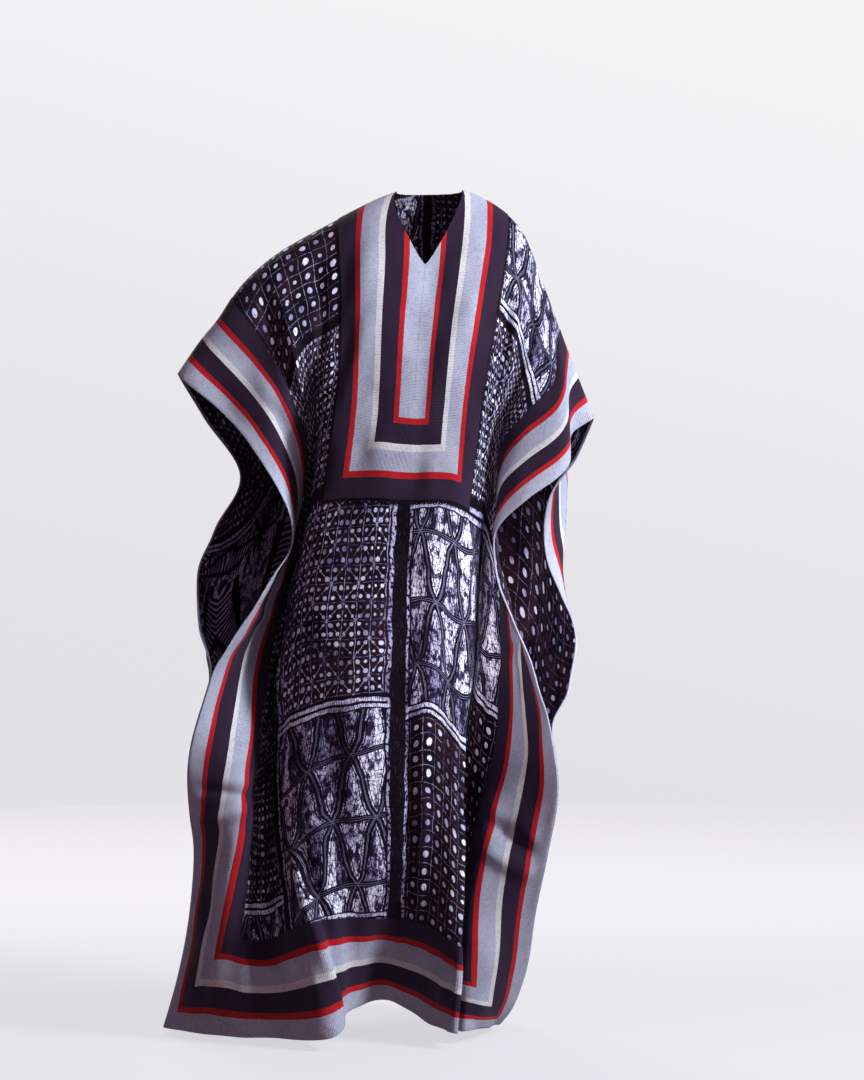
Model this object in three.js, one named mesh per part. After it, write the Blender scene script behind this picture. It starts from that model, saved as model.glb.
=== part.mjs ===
// Wide open-sided kaftan: a front and a back, each one width of cloth, joined along the shoulder
// and sleeve line and, lower down, along both sides. Striped woven bands are sewn round the open
// edges and hem of each panel, and a third band makes the neck placket. It is held up at the
// shoulders and keeps its worn, hollow form. Millimetres, +Z up, the front faces -Y and the
// origin is the middle of the shoulder line.
//
// Every point is found in cloth coordinates: s runs across the cloth from its centre line and
// t runs down it from the shoulder line. The fold lines below say where a few lines of constant
// s hang, and the cloth between them is a smooth curve that keeps its length.

import * as THREE from 'three';

const cloth = { halfWidth: 570, length: 1480, wall: 2 };
const band = { width: 168, wall: 1.2 };
const placket = { halfWidth: 168, depth: 550 };
const neck = { halfWidth: 74, frontDepth: 140, frontPower: 1.8, backDepth: 26 };
const seamGap = 0.3;

// Grid lines. Each stretch is split evenly, so that every sewn edge lies on a line of the grid.
const acrossStretches = [
  { to: placket.halfWidth, cells: 5 },
  { to: cloth.halfWidth - band.width, cells: 6 },
  { to: cloth.halfWidth, cells: 5 },
];
const downStretches = [
  { to: neck.backDepth, cells: 2 },
  { to: neck.frontDepth, cells: 4 },
  { to: placket.depth - placket.halfWidth, cells: 6 },
  { to: placket.depth, cells: 5 },
  { to: cloth.length - band.width, cells: 16 },
  { to: cloth.length, cells: 5 },
];

// Shoulder and sleeve line, which both panels share. Columns: s, x, y, z.
const shoulderLine = [
  [-570, -435, -60, -330],
  [-500, -395, -50, -270],
  [-440, -365, -45, -232],
  [-385, -332, -35, -180],
  [-320, -290, -20, -135],
  [-190, -180, -5, -65],
  [-74, -55, 0, -5],
  [0, 0, 0, 0],
  [74, 60, 0, -2],
  [190, 155, 0, -60],
  [310, 202, -10, -168],
  [440, 243, -28, -285],
  [570, 290, -30, -405],
];

// Side seams, from the foot of each armhole to the hem. Columns: t, x, y, z.
const leftSeam = [
  [760, -375, -110, -860],
  [900, -410, -100, -980],
  [1060, -415, -55, -1095],
  [1130, -410, -30, -1155],
  [1230, -420, 20, -1260],
  [1370, -445, 60, -1390],
  [1480, -475, 80, -1494],
];
const rightSeam = [
  [810, 215, -100, -960],
  [900, 225, -100, -1040],
  [1030, 207, -70, -1165],
  [1130, 190, -30, -1258],
  [1290, 173, 35, -1385],
  [1400, 150, 65, -1455],
  [1480, 128, 85, -1488],
];

// Fold lines of the front, from the wearer's right (s < 0) to the left. Columns: t, x, y, z.
const frontFolds = [
  { s: -570, rows: [
    [0, -435, -60, -330],
    [110, -360, -85, -395],
    [215, -305, -95, -458],
    [290, -255, -95, -538],
    [400, -238, -70, -628],
    [470, -265, -85, -675],
    [620, -328, -105, -778],
    [760, -375, -110, -860],
  ] },
  { s: -440, rows: [
    [0, -365, -45, -232],
    [110, -295, -85, -313],
    [215, -250, -90, -382],
    [290, -222, -50, -462],
    [430, -240, 32, -608],
    [580, -272, 15, -728],
    [770, -303, 0, -850],
    [900, -310, -55, -975],
    [1060, -320, -80, -1080],
    [1130, -324, -80, -1130],
    [1230, -343, -75, -1232],
    [1370, -370, -35, -1365],
    [1480, -385, 10, -1493],
  ] },
  { s: -320, rows: [
    [0, -290, -20, -135],
    [120, -252, -75, -213],
    [240, -213, -100, -312],
    [330, -202, -65, -392],
    [480, -207, 30, -555],
    [660, -243, 65, -742],
    [830, -275, 58, -910],
    [1060, -290, 30, -1085],
    [1230, -292, 5, -1250],
    [1370, -283, -35, -1378],
    [1480, -275, -38, -1490],
  ] },
  { s: -190, rows: [
    [0, -180, -5, -65],
    [110, -170, -65, -150],
    [240, -165, -105, -275],
    [420, -176, -110, -430],
    [560, -195, -95, -564],
    [750, -222, -80, -746],
    [950, -230, -85, -957],
    [1200, -216, -95, -1175],
    [1350, -193, -100, -1318],
    [1480, -160, -100, -1475],
  ] },
  { s: -95, rows: [
    [0, -85, 0, -12],
    [100, -84, -60, -88],
    [250, -88, -120, -238],
    [420, -96, -130, -413],
    [700, -115, -125, -696],
    [1000, -124, -120, -982],
    [1250, -126, -85, -1218],
    [1390, -130, -45, -1352],
    [1480, -135, -20, -1443],
  ] },
  { s: 0, rows: [
    [0, 0, 0, 0],
    [140, -5, -80, -142],
    [260, -16, -120, -262],
    [420, -26, -135, -418],
    [560, -39, -130, -559],
    [900, -50, -120, -888],
    [1230, -55, -75, -1208],
    [1390, -64, -5, -1352],
    [1480, -68, 45, -1438],
  ] },
  { s: 95, rows: [
    [0, 80, 0, -8],
    [110, 75, -65, -100],
    [250, 62, -120, -242],
    [420, 46, -135, -418],
    [560, 33, -134, -560],
    [700, 20, -130, -698],
    [1000, 5, -115, -970],
    [1250, 0, -75, -1225],
    [1390, -3, -25, -1370],
    [1480, -7, 5, -1468],
  ] },
  { s: 190, rows: [
    [0, 155, 0, -60],
    [110, 146, -65, -145],
    [250, 124, -110, -272],
    [420, 94, -110, -434],
    [560, 78, -100, -581],
    [750, 69, -90, -777],
    [1000, 60, -90, -1038],
    [1230, 57, -85, -1255],
    [1370, 54, -85, -1376],
    [1480, 49, -80, -1474],
  ] },
  { s: 250, rows: [
    [0, 181, -5, -112],
    [110, 172, -68, -195],
    [240, 147, -105, -296],
    [420, 106, -72, -447],
    [560, 95, -38, -596],
    [750, 84, -25, -787],
    [1000, 56, -25, -1043],
    [1230, 44, -22, -1262],
    [1370, 37, -18, -1386],
    [1480, 33, -16, -1482],
  ] },
  { s: 310, rows: [
    [0, 202, -10, -168],
    [110, 190, -70, -242],
    [220, 161, -95, -328],
    [320, 130, -75, -402],
    [470, 111, 0, -538],
    [640, 103, 45, -708],
    [830, 86, 48, -895],
    [1010, 66, 44, -1073],
    [1230, 55, 42, -1279],
    [1370, 48, 40, -1401],
    [1480, 45, 38, -1490],
  ] },
  { s: 425, rows: [
    [0, 238, -26, -272],
    [60, 235, -75, -308],
    [140, 222, -105, -368],
    [230, 166, -100, -420],
    [300, 134, -80, -460],
    [440, 122, 10, -592],
    [590, 137, 30, -728],
    [720, 141, 15, -822],
    [850, 136, -10, -962],
    [1000, 105, -40, -1095],
    [1150, 75, -50, -1230],
    [1300, 66, -52, -1355],
    [1400, 64, -42, -1422],
    [1480, 62, -32, -1479],
  ] },
  { s: 570, rows: [
    [0, 290, -30, -405],
    [40, 252, -45, -430],
    [120, 240, -110, -493],
    [210, 172, -110, -548],
    [290, 131, -90, -585],
    [360, 115, -65, -620],
    [450, 125, -70, -696],
    [580, 163, -90, -790],
    [700, 194, -100, -882],
    [810, 215, -100, -960],
  ] },
];

// Fold lines of the back. Columns: t, x, y, z.
const backFolds = [
  { s: -570, rows: [
    [0, -435, -60, -330],
    [120, -395, 20, -405],
    [250, -335, 70, -500],
    [400, -385, 80, -605],
    [520, -412, 60, -680],
    [640, -402, -10, -775],
    [760, -375, -110, -860],
  ] },
  { s: -430, rows: [
    [0, -359, -43, -224],
    [120, -335, 50, -295],
    [260, -302, 110, -422],
    [420, -330, 150, -572],
    [560, -365, 150, -708],
    [760, -367, 80, -868],
    [900, -370, 50, -985],
    [1060, -370, 60, -1108],
    [1230, -378, 100, -1270],
    [1370, -400, 150, -1400],
    [1480, -425, 185, -1492],
  ] },
  { s: -260, rows: [
    [0, -242, -12, -103],
    [120, -230, 70, -165],
    [260, -220, 130, -278],
    [450, -235, 165, -462],
    [700, -275, 185, -710],
    [950, -305, 175, -965],
    [1200, -315, 195, -1222],
    [1480, -315, 250, -1482],
  ] },
  { s: -100, rows: [
    [0, -90, 0, -14],
    [120, -90, 70, -90],
    [260, -87, 125, -218],
    [450, -95, 120, -410],
    [700, -112, 110, -665],
    [950, -138, 130, -920],
    [1200, -150, 165, -1165],
    [1480, -165, 200, -1448],
  ] },
  { s: 50, rows: [
    [0, 42, 0, 0],
    [120, 40, 70, -78],
    [260, 33, 125, -210],
    [450, 22, 130, -400],
    [700, 5, 150, -652],
    [950, -5, 185, -905],
    [1200, -15, 225, -1160],
    [1480, -30, 265, -1445],
  ] },
  { s: 190, rows: [
    [0, 155, 0, -60],
    [120, 150, 70, -140],
    [260, 135, 120, -268],
    [450, 111, 120, -456],
    [700, 87, 115, -710],
    [950, 73, 125, -955],
    [1200, 58, 140, -1200],
    [1480, 40, 165, -1468],
  ] },
  { s: 330, rows: [
    [0, 208, -12, -187],
    [120, 210, 65, -252],
    [260, 205, 115, -368],
    [450, 197, 165, -548],
    [650, 188, 190, -745],
    [850, 152, 160, -942],
    [1100, 124, 175, -1188],
    [1300, 106, 220, -1375],
    [1480, 92, 258, -1478],
  ] },
  { s: 440, rows: [
    [0, 243, -28, -285],
    [120, 246, 40, -342],
    [260, 242, 95, -458],
    [450, 235, 130, -640],
    [600, 225, 130, -795],
    [810, 192, 30, -960],
    [950, 188, 15, -1095],
    [1130, 163, 80, -1262],
    [1290, 144, 140, -1392],
    [1480, 112, 192, -1492],
  ] },
  { s: 570, rows: [
    [0, 290, -30, -405],
    [100, 262, 30, -475],
    [200, 215, 60, -548],
    [320, 212, 90, -645],
    [420, 240, 95, -720],
    [560, 265, 60, -797],
    [680, 246, -20, -880],
    [810, 215, -100, -960],
  ] },
];

// Lines that stay put when the cloth is evened out between them; at the others it may slide.
const frontAnchors = [-570, -440, -190, 0, 190, 425, 570];
const backAnchors = [-570, -430, -100, 190, 440, 570];

// A smooth curve through rows whose first column is the parameter and whose others are x, y, z.
// The slopes at its two ends may be given, so that two curves can run on into each other.
function smoothCurve(rows, { startSlope, endSlope } = {}) {
  const at = rows.map((row) => row[0]);
  const points = rows.map(([, x, y, z]) => new THREE.Vector3(x, y, z));
  const last = rows.length - 1;
  const chord = (k) => points[k + 1].clone().sub(points[k]).divideScalar(at[k + 1] - at[k]);
  const slopes = points.map((point, k) => {
    if (k === 0 || k === last) return null;
    const before = at[k] - at[k - 1];
    const after = at[k + 1] - at[k];
    return chord(k - 1).multiplyScalar(after).addScaledVector(chord(k), before).divideScalar(before + after);
  });
  slopes[0] = startSlope ?? chord(0).multiplyScalar(1.5).addScaledVector(slopes[1], -0.5);
  slopes[last] = endSlope ?? chord(last - 1).multiplyScalar(1.5).addScaledVector(slopes[last - 1], -0.5);

  return (value) => {
    let k = 0;
    while (k < last - 1 && value > at[k + 1]) k += 1;
    const span = at[k + 1] - at[k];
    const u = (value - at[k]) / span;
    return new THREE.Vector3()
      .addScaledVector(points[k], 2 * u ** 3 - 3 * u ** 2 + 1)
      .addScaledVector(slopes[k], (u ** 3 - 2 * u ** 2 + u) * span)
      .addScaledVector(points[k + 1], 3 * u ** 2 - 2 * u ** 3)
      .addScaledVector(slopes[k + 1], (u ** 3 - u ** 2) * span);
  };
}

// One edge of a panel: its own free edge down to the foot of the armhole, then the side seam,
// which both panels share.
function edgeCurve(freeRows, seamRows, startSlope) {
  const [[t0, ...foot], [t1, ...below]] = seamRows;
  const footSlope = new THREE.Vector3(...below).sub(new THREE.Vector3(...foot)).divideScalar(t1 - t0);
  const free = smoothCurve(freeRows, { startSlope, endSlope: footSlope });
  const seam = smoothCurve(seamRows, { startSlope: footSlope });
  return (t) => (t < t0 ? free(t) : seam(t));
}

const shoulderAt = smoothCurve(shoulderLine);

// The drape of one panel as a function of t that gives the row at t as a function of s.
// side is -1 for the front and +1 for the back: the cloth leaves the shoulder line gently downwards.
function drape(foldLines, anchors, side) {
  const startSlope = new THREE.Vector3(0, side, -0.2);
  const curves = foldLines.map(({ rows }, k) => {
    if (k === 0) return edgeCurve(rows, leftSeam, startSlope);
    if (k === foldLines.length - 1) return edgeCurve(rows, rightSeam, startSlope);
    return smoothCurve(rows, { startSlope });
  });
  const rowThrough = (t) => smoothCurve(foldLines.map(({ s }, k) => [s, ...curves[k](t).toArray()]));
  const topRow = evenOut(rowThrough(0), anchors);
  const shoulderReach = 110;

  return (t) => {
    const row = rowThrough(t);
    const evened = evenOut(row, anchors);
    const settle = Math.max(0, 1 - t / shoulderReach) ** 2;
    return (s) => {
      const point = evened(s);
      if (settle > 0) point.addScaledVector(shoulderAt(s).sub(topRow(s)), settle);
      return point;
    };
  };
}

// Slides the points of a row along it until the cloth between two anchors is evenly spread.
function evenOut(row, anchors) {
  const step = 5;
  const stretches = [];
  for (let k = 0; k < anchors.length - 1; k += 1) {
    const count = Math.round((anchors[k + 1] - anchors[k]) / step);
    const places = [{ s: anchors[k], length: 0 }];
    let previous = row(anchors[k]);
    for (let i = 1; i <= count; i += 1) {
      const s = anchors[k] + ((anchors[k + 1] - anchors[k]) * i) / count;
      const point = row(s);
      places.push({ s, length: places[i - 1].length + point.distanceTo(previous) });
      previous = point;
    }
    stretches.push(places);
  }
  return (s) => {
    const k = Math.min(anchors.length - 2, Math.max(0, anchors.findIndex((anchor) => s <= anchor) - 1));
    const places = stretches[k];
    const share = (s - anchors[k]) / (anchors[k + 1] - anchors[k]);
    const wanted = share * places.at(-1).length;
    let i = 1;
    while (i < places.length - 1 && places[i].length < wanted) i += 1;
    const part = (wanted - places[i - 1].length) / (places[i].length - places[i - 1].length);
    return row(THREE.MathUtils.lerp(places[i - 1].s, places[i].s, part));
  };
}

// Positions of the grid lines, from a list of stretches that each end where something is sewn.
function gridLines(stretches) {
  const lines = [0];
  for (const { to, cells } of stretches) {
    const from = lines.at(-1);
    for (let i = 1; i <= cells; i += 1) lines.push(from + ((to - from) * i) / cells);
  }
  return lines;
}

const halfLines = gridLines(acrossStretches);
const across = [...halfLines.slice(1).reverse().map((s) => -s), ...halfLines];
const down = gridLines(downStretches);
const centre = halfLines.length - 1;

const frontNeck = (t) => neck.halfWidth * Math.max(0, 1 - (t / neck.frontDepth) ** neck.frontPower);
const backNeck = (t) => neck.halfWidth * Math.sqrt(Math.max(0, 1 - (t / neck.backDepth) ** 2));

// The grid of one panel. Above the foot of the neck it is two halves, pulled apart to the neck's
// edge; below it they share the centre line. Each vertex has a point and an outward normal.
function panelGrid(rowAt, neckHalf, neckDepth, side) {
  const vertices = new Map();
  const key = (i, j, half) => {
    const split = i === centre && down[j] < neckDepth;
    return split ? `${i},${j},${half}` : `${i},${j}`;
  };
  const sewn = (i, j, half) => {
    const open = neckHalf(down[j]);
    const size = Math.abs(across[i]);
    if (size >= placket.halfWidth || open === 0) return across[i];
    return half * (open + size * (1 - open / placket.halfWidth));
  };
  for (let j = 0; j < down.length; j += 1) {
    const row = rowAt(down[j]);
    for (let i = 0; i < across.length; i += 1) {
      for (const half of i === centre ? [-1, 1] : [Math.sign(across[i])]) {
        vertices.set(key(i, j, half), { point: row(sewn(i, j, half)), normal: new THREE.Vector3() });
      }
    }
  }
  const triangles = [];
  for (let j = 0; j < down.length - 1; j += 1) {
    for (let i = 0; i < across.length - 1; i += 1) {
      const half = i < centre ? -1 : 1;
      const inner = half > 0 ? i : i + 1;
      const outer = half > 0 ? i + 1 : i;
      const corner = (ii, jj) => ({ id: key(ii, jj, half), s: across[ii], t: down[jj] });
      const high = [corner(inner, j), corner(outer, j), corner(outer, j + 1)];
      const low = [corner(inner, j), corner(outer, j + 1), corner(inner, j + 1)];
      for (const corners of [high, low]) {
        triangles.push(half * side > 0 ? corners : corners.reverse());
      }
    }
  }
  addNormals(vertices, triangles);
  return { vertices, triangles };
}

function addNormals(vertices, triangles) {
  for (const corners of triangles) {
    const [a, b, c] = corners.map(({ id }) => vertices.get(id));
    const edge = b.point.clone().sub(a.point);
    const face = edge.cross(c.point.clone().sub(a.point));
    for (const vertex of [a, b, c]) vertex.normal.add(face);
  }
  for (const { normal } of vertices.values()) normal.normalize();
}

// A closed wall over the triangles of a grid that a piece covers, from one height above the grid
// to another, trimmed all round by half the gap between sewn pieces.
function wall(grid, covers, from, to) {
  const triangles = grid.triangles.filter((corners) => covers(middleOf(corners)));
  const ids = [...new Set(triangles.flat().map(({ id }) => id))];
  const index = new Map(ids.map((id, k) => [id, k]));
  const faces = triangles.map((corners) => corners.map(({ id }) => index.get(id)));
  const rim = rimEdges(faces);
  const base = trimmed(ids.map((id) => grid.vertices.get(id)), rim);

  const positions = [];
  for (const height of [from, to]) {
    for (const { point, normal } of base) {
      positions.push(...point.clone().addScaledVector(normal, height).toArray());
    }
  }
  const n = ids.length;
  const indices = [];
  for (const [a, b, c] of faces) indices.push(a + n, b + n, c + n, c, b, a);
  for (const [a, b] of rim) indices.push(a, b, b + n, a, b + n, a + n);

  const geometry = new THREE.BufferGeometry();
  geometry.setAttribute('position', new THREE.Float32BufferAttribute(positions, 3));
  geometry.setIndex(indices);
  geometry.computeVertexNormals();
  return geometry;
}

function middleOf(corners) {
  const mean = (name) => corners.reduce((sum, corner) => sum + corner[name], 0) / corners.length;
  return { s: mean('s'), t: mean('t') };
}

// Edges that only one face has, in that face's direction.
function rimEdges(faces) {
  const edges = new Map();
  for (const face of faces) {
    face.forEach((a, k) => {
      const b = face[(k + 1) % face.length];
      if (!edges.delete(`${b}>${a}`)) edges.set(`${a}>${b}`, [a, b]);
    });
  }
  return [...edges.values()];
}

function trimmed(vertices, rim) {
  const inward = vertices.map(() => []);
  for (const [a, b] of rim) {
    const along = vertices[b].point.clone().sub(vertices[a].point).normalize();
    for (const k of [a, b]) inward[k].push(vertices[k].normal.clone().cross(along).normalize());
  }
  return vertices.map(({ point, normal }, k) => {
    if (inward[k].length === 0) return { point, normal };
    const [first, second] = inward[k];
    const reach = seamGap / 2 / (1 + first.dot(second));
    return { point: point.clone().addScaledVector(first.clone().add(second), reach), normal };
  });
}

const sideInner = cloth.halfWidth - band.width;
const hemInner = cloth.length - band.width;
const mitreTop = placket.depth - placket.halfWidth;

const cover = {
  all: () => true,
  leftBand: ({ s, t }) => s < -sideInner && -s - sideInner > t - hemInner,
  rightBand: ({ s, t }) => s > sideInner && s - sideInner > t - hemInner,
  hemBand: ({ s, t }) => t > hemInner && t - hemInner > Math.abs(s) - sideInner,
  placketLeft: ({ s, t }) => s < 0 && s > -placket.halfWidth && t < placket.depth && -s > t - mitreTop,
  placketRight: ({ s, t }) => s > 0 && s < placket.halfWidth && t < placket.depth && s > t - mitreTop,
  placketFoot: ({ s, t }) => t < placket.depth && t - mitreTop > Math.abs(s),
};

const finish = {
  print: { color: 0x4a3f66, roughness: 0.75, metalness: 0 },
  stripe: { color: 0x9a98bb, roughness: 0.85, metalness: 0 },
};

const front = panelGrid(drape(frontFolds, frontAnchors, -1), frontNeck, neck.frontDepth, -1);
const back = panelGrid(drape(backFolds, backAnchors, 1), backNeck, neck.backDepth, 1);

const panelFrom = seamGap / 2;
const panelTo = panelFrom + cloth.wall;
const bandFrom = panelTo + seamGap;
const bandTo = bandFrom + band.wall;

const pieces = [
  { name: 'front_panel', grid: front, covers: cover.all, from: panelFrom, to: panelTo, look: finish.print },
  { name: 'back_panel', grid: back, covers: cover.all, from: panelFrom, to: panelTo, look: finish.print },
  ...bandPieces('front', front),
  ...bandPieces('back', back),
  bandPiece('placket_left', front, cover.placketLeft),
  bandPiece('placket_right', front, cover.placketRight),
  bandPiece('placket_foot', front, cover.placketFoot),
];

function bandPiece(name, grid, covers) {
  return { name, grid, covers, from: bandFrom, to: bandTo, look: finish.stripe };
}

function bandPieces(panel, grid) {
  return [
    bandPiece(`${panel}_band_left`, grid, cover.leftBand),
    bandPiece(`${panel}_band_right`, grid, cover.rightBand),
    bandPiece(`${panel}_band_hem`, grid, cover.hemBand),
  ];
}

const kaftan = new THREE.Group();
kaftan.name = 'kaftan';
for (const { name, grid, covers, from, to, look } of pieces) {
  const mesh = new THREE.Mesh(wall(grid, covers, from, to), new THREE.MeshStandardMaterial(look));
  mesh.name = name;
  kaftan.add(mesh);
}

export default kaftan;
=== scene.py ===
# A wide kaftan in resist-dyed cloth, edged with striped woven bands, hung in its worn form.
import math

import bmesh
import bpy
import numpy as np
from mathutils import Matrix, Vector


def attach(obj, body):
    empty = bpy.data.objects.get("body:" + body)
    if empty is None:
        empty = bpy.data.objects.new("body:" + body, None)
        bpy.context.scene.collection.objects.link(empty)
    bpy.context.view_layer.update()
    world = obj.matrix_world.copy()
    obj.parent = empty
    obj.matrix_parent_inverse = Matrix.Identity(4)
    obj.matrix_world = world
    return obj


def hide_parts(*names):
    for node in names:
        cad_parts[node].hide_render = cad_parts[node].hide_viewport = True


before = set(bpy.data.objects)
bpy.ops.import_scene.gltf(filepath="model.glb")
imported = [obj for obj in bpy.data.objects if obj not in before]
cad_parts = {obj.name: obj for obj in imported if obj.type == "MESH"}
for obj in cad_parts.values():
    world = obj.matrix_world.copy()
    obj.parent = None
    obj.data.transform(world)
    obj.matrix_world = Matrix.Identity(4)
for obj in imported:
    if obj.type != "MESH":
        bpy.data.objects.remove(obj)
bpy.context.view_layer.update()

mm = 0.001  # the cloth is laid out and hung in millimetres, then scaled to metres

camera = {"place": (0.007, -4.5, -0.618), "tilt": 90, "lens": 85}


def makeCamera():
    data = bpy.data.cameras.new("camera")
    data.lens = camera["lens"]
    eye = bpy.data.objects.new("camera", data)
    eye.location = camera["place"]
    eye.rotation_euler = (math.radians(camera["tilt"]), 0, 0)
    bpy.context.collection.objects.link(eye)
    bpy.context.scene.camera = eye


makeCamera()
print("camera set")

# The cut, in millimetres: s runs across the cloth from its middle, t down from the shoulder.
cloth = {"halfWidth": 570, "length": 1480, "inner": 0.2, "outer": 1.0, "cell": 7}
band = {"width": 168, "inner": 1.2, "outer": 2.0, "turnIn": 4, "setBack": 1.6}
placket = {"halfWidth": 168, "depth": 550, "joint": 0.4}
neck = {"halfWidth": 74, "frontDepth": 140, "frontPower": 1.8, "backDepth": 26}

# Where the cloth hangs. Columns: s or t, then x, y, z.
shoulderLine = [
    (-570, -435, -60, -330), (-500, -395, -50, -270), (-440, -365, -45, -232), (-385, -332, -35, -180),
    (-320, -290, -20, -135), (-190, -180, -5, -65), (-74, -55, 0, -5), (0, 0, 0, 0), (74, 60, 0, -2),
    (190, 155, 0, -60), (310, 202, -10, -168), (440, 243, -28, -285), (570, 290, -30, -405),
]
leftSeam = [
    (760, -375, -110, -860), (900, -410, -100, -980), (1060, -415, -55, -1095),
    (1130, -410, -30, -1155), (1230, -420, 20, -1260), (1370, -445, 60, -1390),
    (1480, -475, 80, -1494),
]
rightSeam = [
    (810, 215, -100, -960), (900, 225, -100, -1040), (1030, 207, -70, -1165), (1130, 190, -30, -1258),
    (1290, 173, 35, -1385), (1400, 150, 65, -1455), (1480, 128, 85, -1488),
]
frontFolds = {
    -570: [
        (0, -435, -60, -330), (110, -360, -85, -395), (215, -305, -95, -458), (290, -255, -95, -538),
        (400, -238, -70, -628), (470, -265, -85, -675), (620, -328, -105, -778),
        (760, -375, -110, -860),
    ],
    -440: [
        (0, -365, -45, -232), (110, -295, -85, -313), (215, -250, -90, -382), (290, -222, -50, -462),
        (430, -240, 32, -608), (580, -272, 15, -728), (770, -303, 0, -850), (900, -310, -55, -975),
        (1060, -320, -80, -1080), (1130, -324, -80, -1130), (1230, -343, -75, -1232),
        (1370, -370, -35, -1365), (1480, -385, 10, -1493),
    ],
    -320: [
        (0, -290, -20, -135), (120, -252, -75, -213), (240, -213, -100, -312), (330, -202, -65, -392),
        (480, -207, 30, -555), (660, -243, 65, -742), (830, -275, 58, -910), (1060, -290, 30, -1085),
        (1230, -292, 5, -1250), (1370, -283, -35, -1378), (1480, -275, -38, -1490),
    ],
    -190: [
        (0, -180, -5, -65), (110, -170, -65, -150), (240, -165, -105, -275), (420, -176, -110, -430),
        (560, -195, -95, -564), (750, -222, -80, -746), (950, -230, -85, -957),
        (1200, -216, -95, -1175), (1350, -193, -100, -1318), (1480, -160, -100, -1475),
    ],
    -95: [
        (0, -85, 0, -12), (100, -84, -60, -88), (250, -88, -120, -238), (420, -96, -130, -413),
        (700, -115, -125, -696), (1000, -124, -120, -982), (1250, -126, -85, -1218),
        (1390, -130, -45, -1352), (1480, -135, -20, -1443),
    ],
    0: [
        (0, 0, 0, 0), (140, -5, -80, -142), (260, -16, -120, -262), (420, -26, -135, -418),
        (560, -39, -130, -559), (900, -50, -120, -888), (1230, -55, -75, -1208),
        (1390, -64, -5, -1352), (1480, -68, 45, -1438),
    ],
    95: [
        (0, 80, 0, -8), (110, 75, -65, -100), (250, 62, -120, -242), (420, 46, -135, -418),
        (560, 33, -134, -560), (700, 20, -130, -698), (1000, 5, -115, -970), (1250, 0, -75, -1225),
        (1390, -3, -25, -1370), (1480, -7, 5, -1468),
    ],
    190: [
        (0, 155, 0, -60), (110, 146, -65, -145), (250, 124, -110, -272), (420, 94, -110, -434),
        (560, 78, -100, -581), (750, 69, -90, -777), (1000, 60, -90, -1038), (1230, 57, -85, -1255),
        (1370, 54, -85, -1376), (1480, 49, -80, -1474),
    ],
    250: [
        (0, 181, -5, -112), (110, 172, -68, -195), (240, 147, -105, -296), (420, 106, -72, -447),
        (560, 95, -38, -596), (750, 84, -25, -787), (1000, 56, -25, -1043), (1230, 44, -22, -1262),
        (1370, 37, -18, -1386), (1480, 33, -16, -1482),
    ],
    310: [
        (0, 202, -10, -168), (110, 190, -70, -242), (220, 161, -95, -328), (320, 130, -75, -402),
        (470, 111, 0, -538), (640, 103, 45, -708), (830, 86, 48, -895), (1010, 66, 44, -1073),
        (1230, 55, 42, -1279), (1370, 48, 40, -1401), (1480, 45, 38, -1490),
    ],
    425: [
        (0, 238, -26, -272), (60, 235, -75, -308), (140, 222, -105, -368), (230, 166, -100, -420),
        (300, 134, -80, -460), (440, 122, 10, -592), (590, 137, 30, -728), (720, 141, 15, -822),
        (850, 136, -10, -962), (1000, 105, -40, -1095), (1150, 75, -50, -1230), (1300, 66, -52, -1355),
        (1400, 64, -42, -1422), (1480, 62, -32, -1479),
    ],
    570: [
        (0, 290, -30, -405), (40, 252, -45, -430), (120, 240, -110, -493), (210, 172, -110, -548),
        (290, 131, -90, -585), (360, 115, -65, -620), (450, 125, -70, -696), (580, 163, -90, -790),
        (700, 194, -100, -882), (810, 215, -100, -960),
    ],
}
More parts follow.
